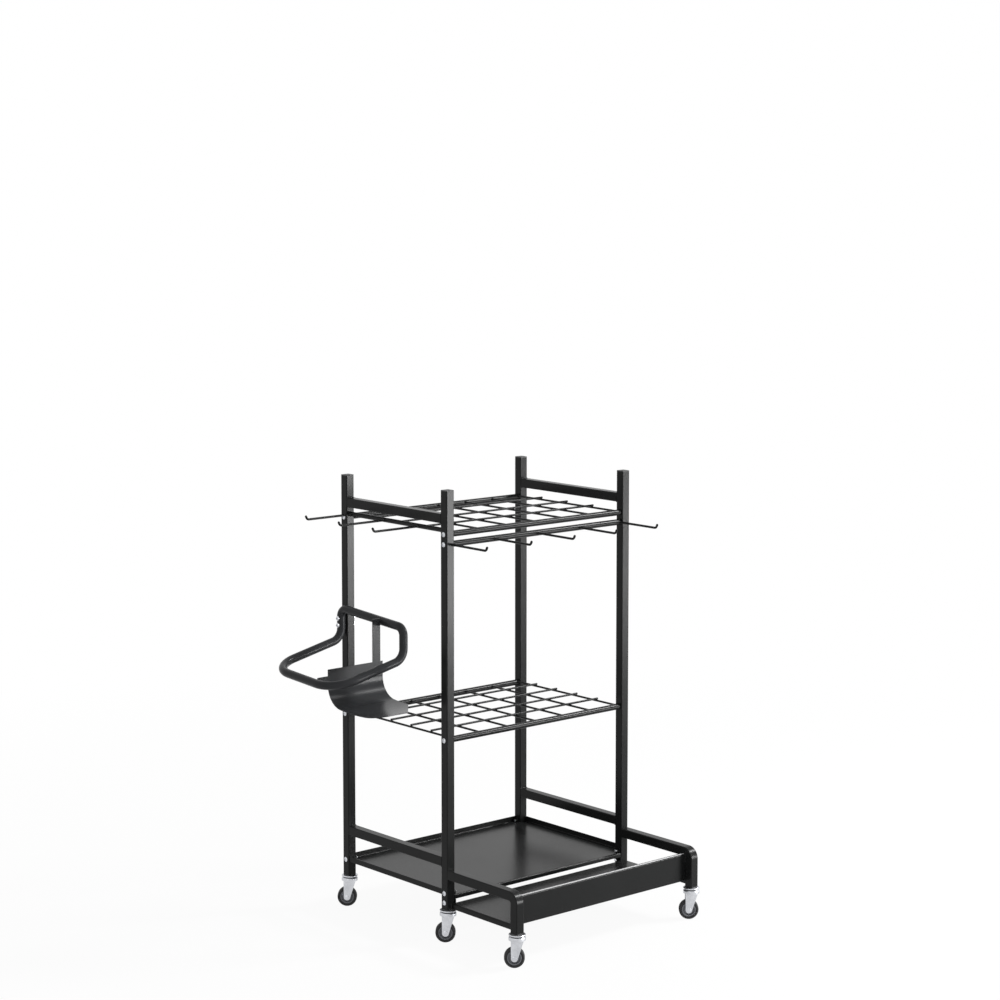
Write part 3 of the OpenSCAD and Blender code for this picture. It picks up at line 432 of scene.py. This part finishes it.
# Rings of weld at the hooks' roots and at both ends of the side hook rail
def weldHooks():
    mesh = bmesh.new()
    bead = hookWelds["bead"]
    radius = hookWelds["rodRadius"]
    low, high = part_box("front_hooks")
    hookZ = low[2] + radius
    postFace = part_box("post_front_left")[0][1]
    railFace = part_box("hook_rail")[0][1]
    hooksX = along(low[0] + radius, high[0] - radius, hookWelds["frontHooks"])
    for x in hooksX:
        y = postFace if x == hooksX[0] else railFace
        addRing(mesh, (x, y, hookZ), (0, 1, 0), radius, bead)
    low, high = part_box("side_hooks")
    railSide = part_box("side_hook_rail")[0][0]
    sideZ = low[2] + radius
    for y in along(low[1] + radius, high[1] - radius, hookWelds["sideHooks"]):
        addRing(mesh, (railSide, y, sideZ), (1, 0, 0), radius, bead)
    low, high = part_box("side_hook_rail")
    centre = centreOf("side_hook_rail")
    for y in (low[1], high[1]):
        addRing(mesh, (centre[0], y, centre[2]), (0, 1, 0), hookWelds["railRadius"], bead)
    newPiece("hookWelds", mesh, "rack", "rack_coat")


panelWelds = {
    "size": (3.2 * mm, 3.6 * mm, 18 * mm),
    "drop": 0.5 * mm,
    "forward": 0.4 * mm,
    "soft": 1.2 * mm,
}


# An upright bead at both ends of the front panel, behind the legs
def weldPanel():
    mesh = bmesh.new()
    low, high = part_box("front_panel")
    y = low[1] - panelWelds["forward"]
    z = high[2] - panelWelds["drop"] - panelWelds["size"][2] / 2
    for x in (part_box("front_leg_left")[1][0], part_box("front_leg_right")[0][0]):
        addCollar(mesh, (x, y, z), panelWelds["size"], panelWelds["soft"])
    newPiece("panelWelds", mesh, "rack", "rack_coat")


weldGrid("topGridWelds", "top_grid", 3)
weldGrid("midGridWelds", "mid_grid", 4)
weldBars()
weldHooks()
weldPanel()
print("welds made")

white = (1.0, 1.0, 1.0, 1.0)
studio = {
    "floorColour": (0.86, 0.86, 0.86, 1.0),
    "floorShade": (0.8, 0.8, 0.8, 1.0),
    "shadeShare": 0.1,
    "shadeScale": 3.0,
    "shadeDetail": 2.0,
    "floorSize": 400.0,
    "floorLift": 0.94,
    "shadowReach": 0.7,
    "shadowFade": 2.0,
    "worldDiffuse": 0.42,
}
lamps = {
    "keyLight": {"place": (2.7, -1.4, 2.95), "aim": (0.1, -0.1, 0.3), "size": 0.9, "power": 135.0},
    "fillLight": {"place": (-3.8, -1.6, 2.2), "aim": (0.0, 0.0, 0.5), "size": 2.4, "power": 10.0},
    "sideLight": {"place": (1.85, -2.35, 0.4), "aim": (-0.1, 0.0, 0.6), "size": 0.9, "power": 60.0},
}


# 1 for what the camera sees itself, by reflection or through glass
def seenDirectly(tree):
    rays = ("Is Camera Ray", "Is Glossy Ray", "Is Transmission Ray")
    camera, glossy, through = tree.add("ShaderNodeLightPath", output=rays)
    return (camera + glossy + through).clamped()


# A pale floor that is white to the camera, apart from the rack's soft shadow
def addFloor():
    tree = newTree("paleFloor")
    grain = tree.noise(studio["shadeScale"], studio["shadeDetail"])
    tone = tree.mix(grain * studio["shadeShare"], studio["floorColour"], studio["floorShade"])
    matte = tree.add("ShaderNodeBsdfDiffuse", inputs={"Color": tone})
    glow = tree.add("ShaderNodeEmission", inputs={"Color": white, "Strength": 1.0})
    inputs = {0: tree.place()}
    spot = tree.add("ShaderNodeVectorMath", {"operation": "LENGTH"}, inputs, "Value")
    far = ((spot - studio["shadowReach"]) / studio["shadowFade"]).clamped()
    share = seenDirectly(tree) * (studio["floorLift"] + far * (1.0 - studio["floorLift"]))
    mixed = tree.add("ShaderNodeMixShader", inputs={0: share, 1: matte, 2: glow})
    mesh = bmesh.new()
    bmesh.ops.create_grid(mesh, x_segments=1, y_segments=1, size=studio["floorSize"] / 2)
    data = bpy.data.meshes.new("floor")
    mesh.to_mesh(data)
    mesh.free()
    floor = bpy.data.objects.new("floor", data)
    bpy.context.scene.collection.objects.link(floor)
    floor.data.materials.append(tree.finish(mixed))


def addWorld():
    world = bpy.data.worlds.new("studioWorld")
    bpy.context.scene.world = world
    tree = Tree(world)
    strength = studio["worldDiffuse"] + seenDirectly(tree) * (1.0 - studio["worldDiffuse"])
    sky = tree.add("ShaderNodeBackground", inputs={"Color": white, "Strength": strength})
    tree.finish(sky, "ShaderNodeOutputWorld")


def addLamp(name, facts):
    lamp = bpy.data.lights.new(name, "AREA")
    lamp.shape = "DISK"
    lamp.size = facts["size"]
    lamp.energy = facts["power"]
    piece = bpy.data.objects.new(name, lamp)
    bpy.context.scene.collection.objects.link(piece)
    piece.location = facts["place"]
    aim = Vector(facts["aim"]) - Vector(facts["place"])
    piece.rotation_euler = aim.to_track_quat("-Z", "Y").to_euler()


addFloor()
addWorld()
for name, facts in lamps.items():
    addLamp(name, facts)
print("studio lit")

# Camera: tilted a little, with a small shift, as the photograph's verticals are nearly parallel
view = {
    "place": (-3.35747, -3.93142, 1.61632),
    "turn": -40.8666,
    "tilt": 5.5343,
    "lens": 89.441,
    "sensorWidth": 36.0,
    "shiftY": -0.1,
    "reach": 200.0,
}
cameraData = bpy.data.cameras.new("camera")
cameraData.sensor_width = view["sensorWidth"]
cameraData.sensor_fit = "HORIZONTAL"
cameraData.lens = view["lens"]
cameraData.shift_y = view["shiftY"]
cameraData.clip_end = view["reach"]
camera = bpy.data.objects.new("camera", cameraData)
camera.location = view["place"]
camera.rotation_euler = (math.radians(90 - view["tilt"]), 0.0, math.radians(view["turn"]))
bpy.context.scene.collection.objects.link(camera)
bpy.context.scene.camera = camera
bpy.context.scene.view_settings.view_transform = "Standard"
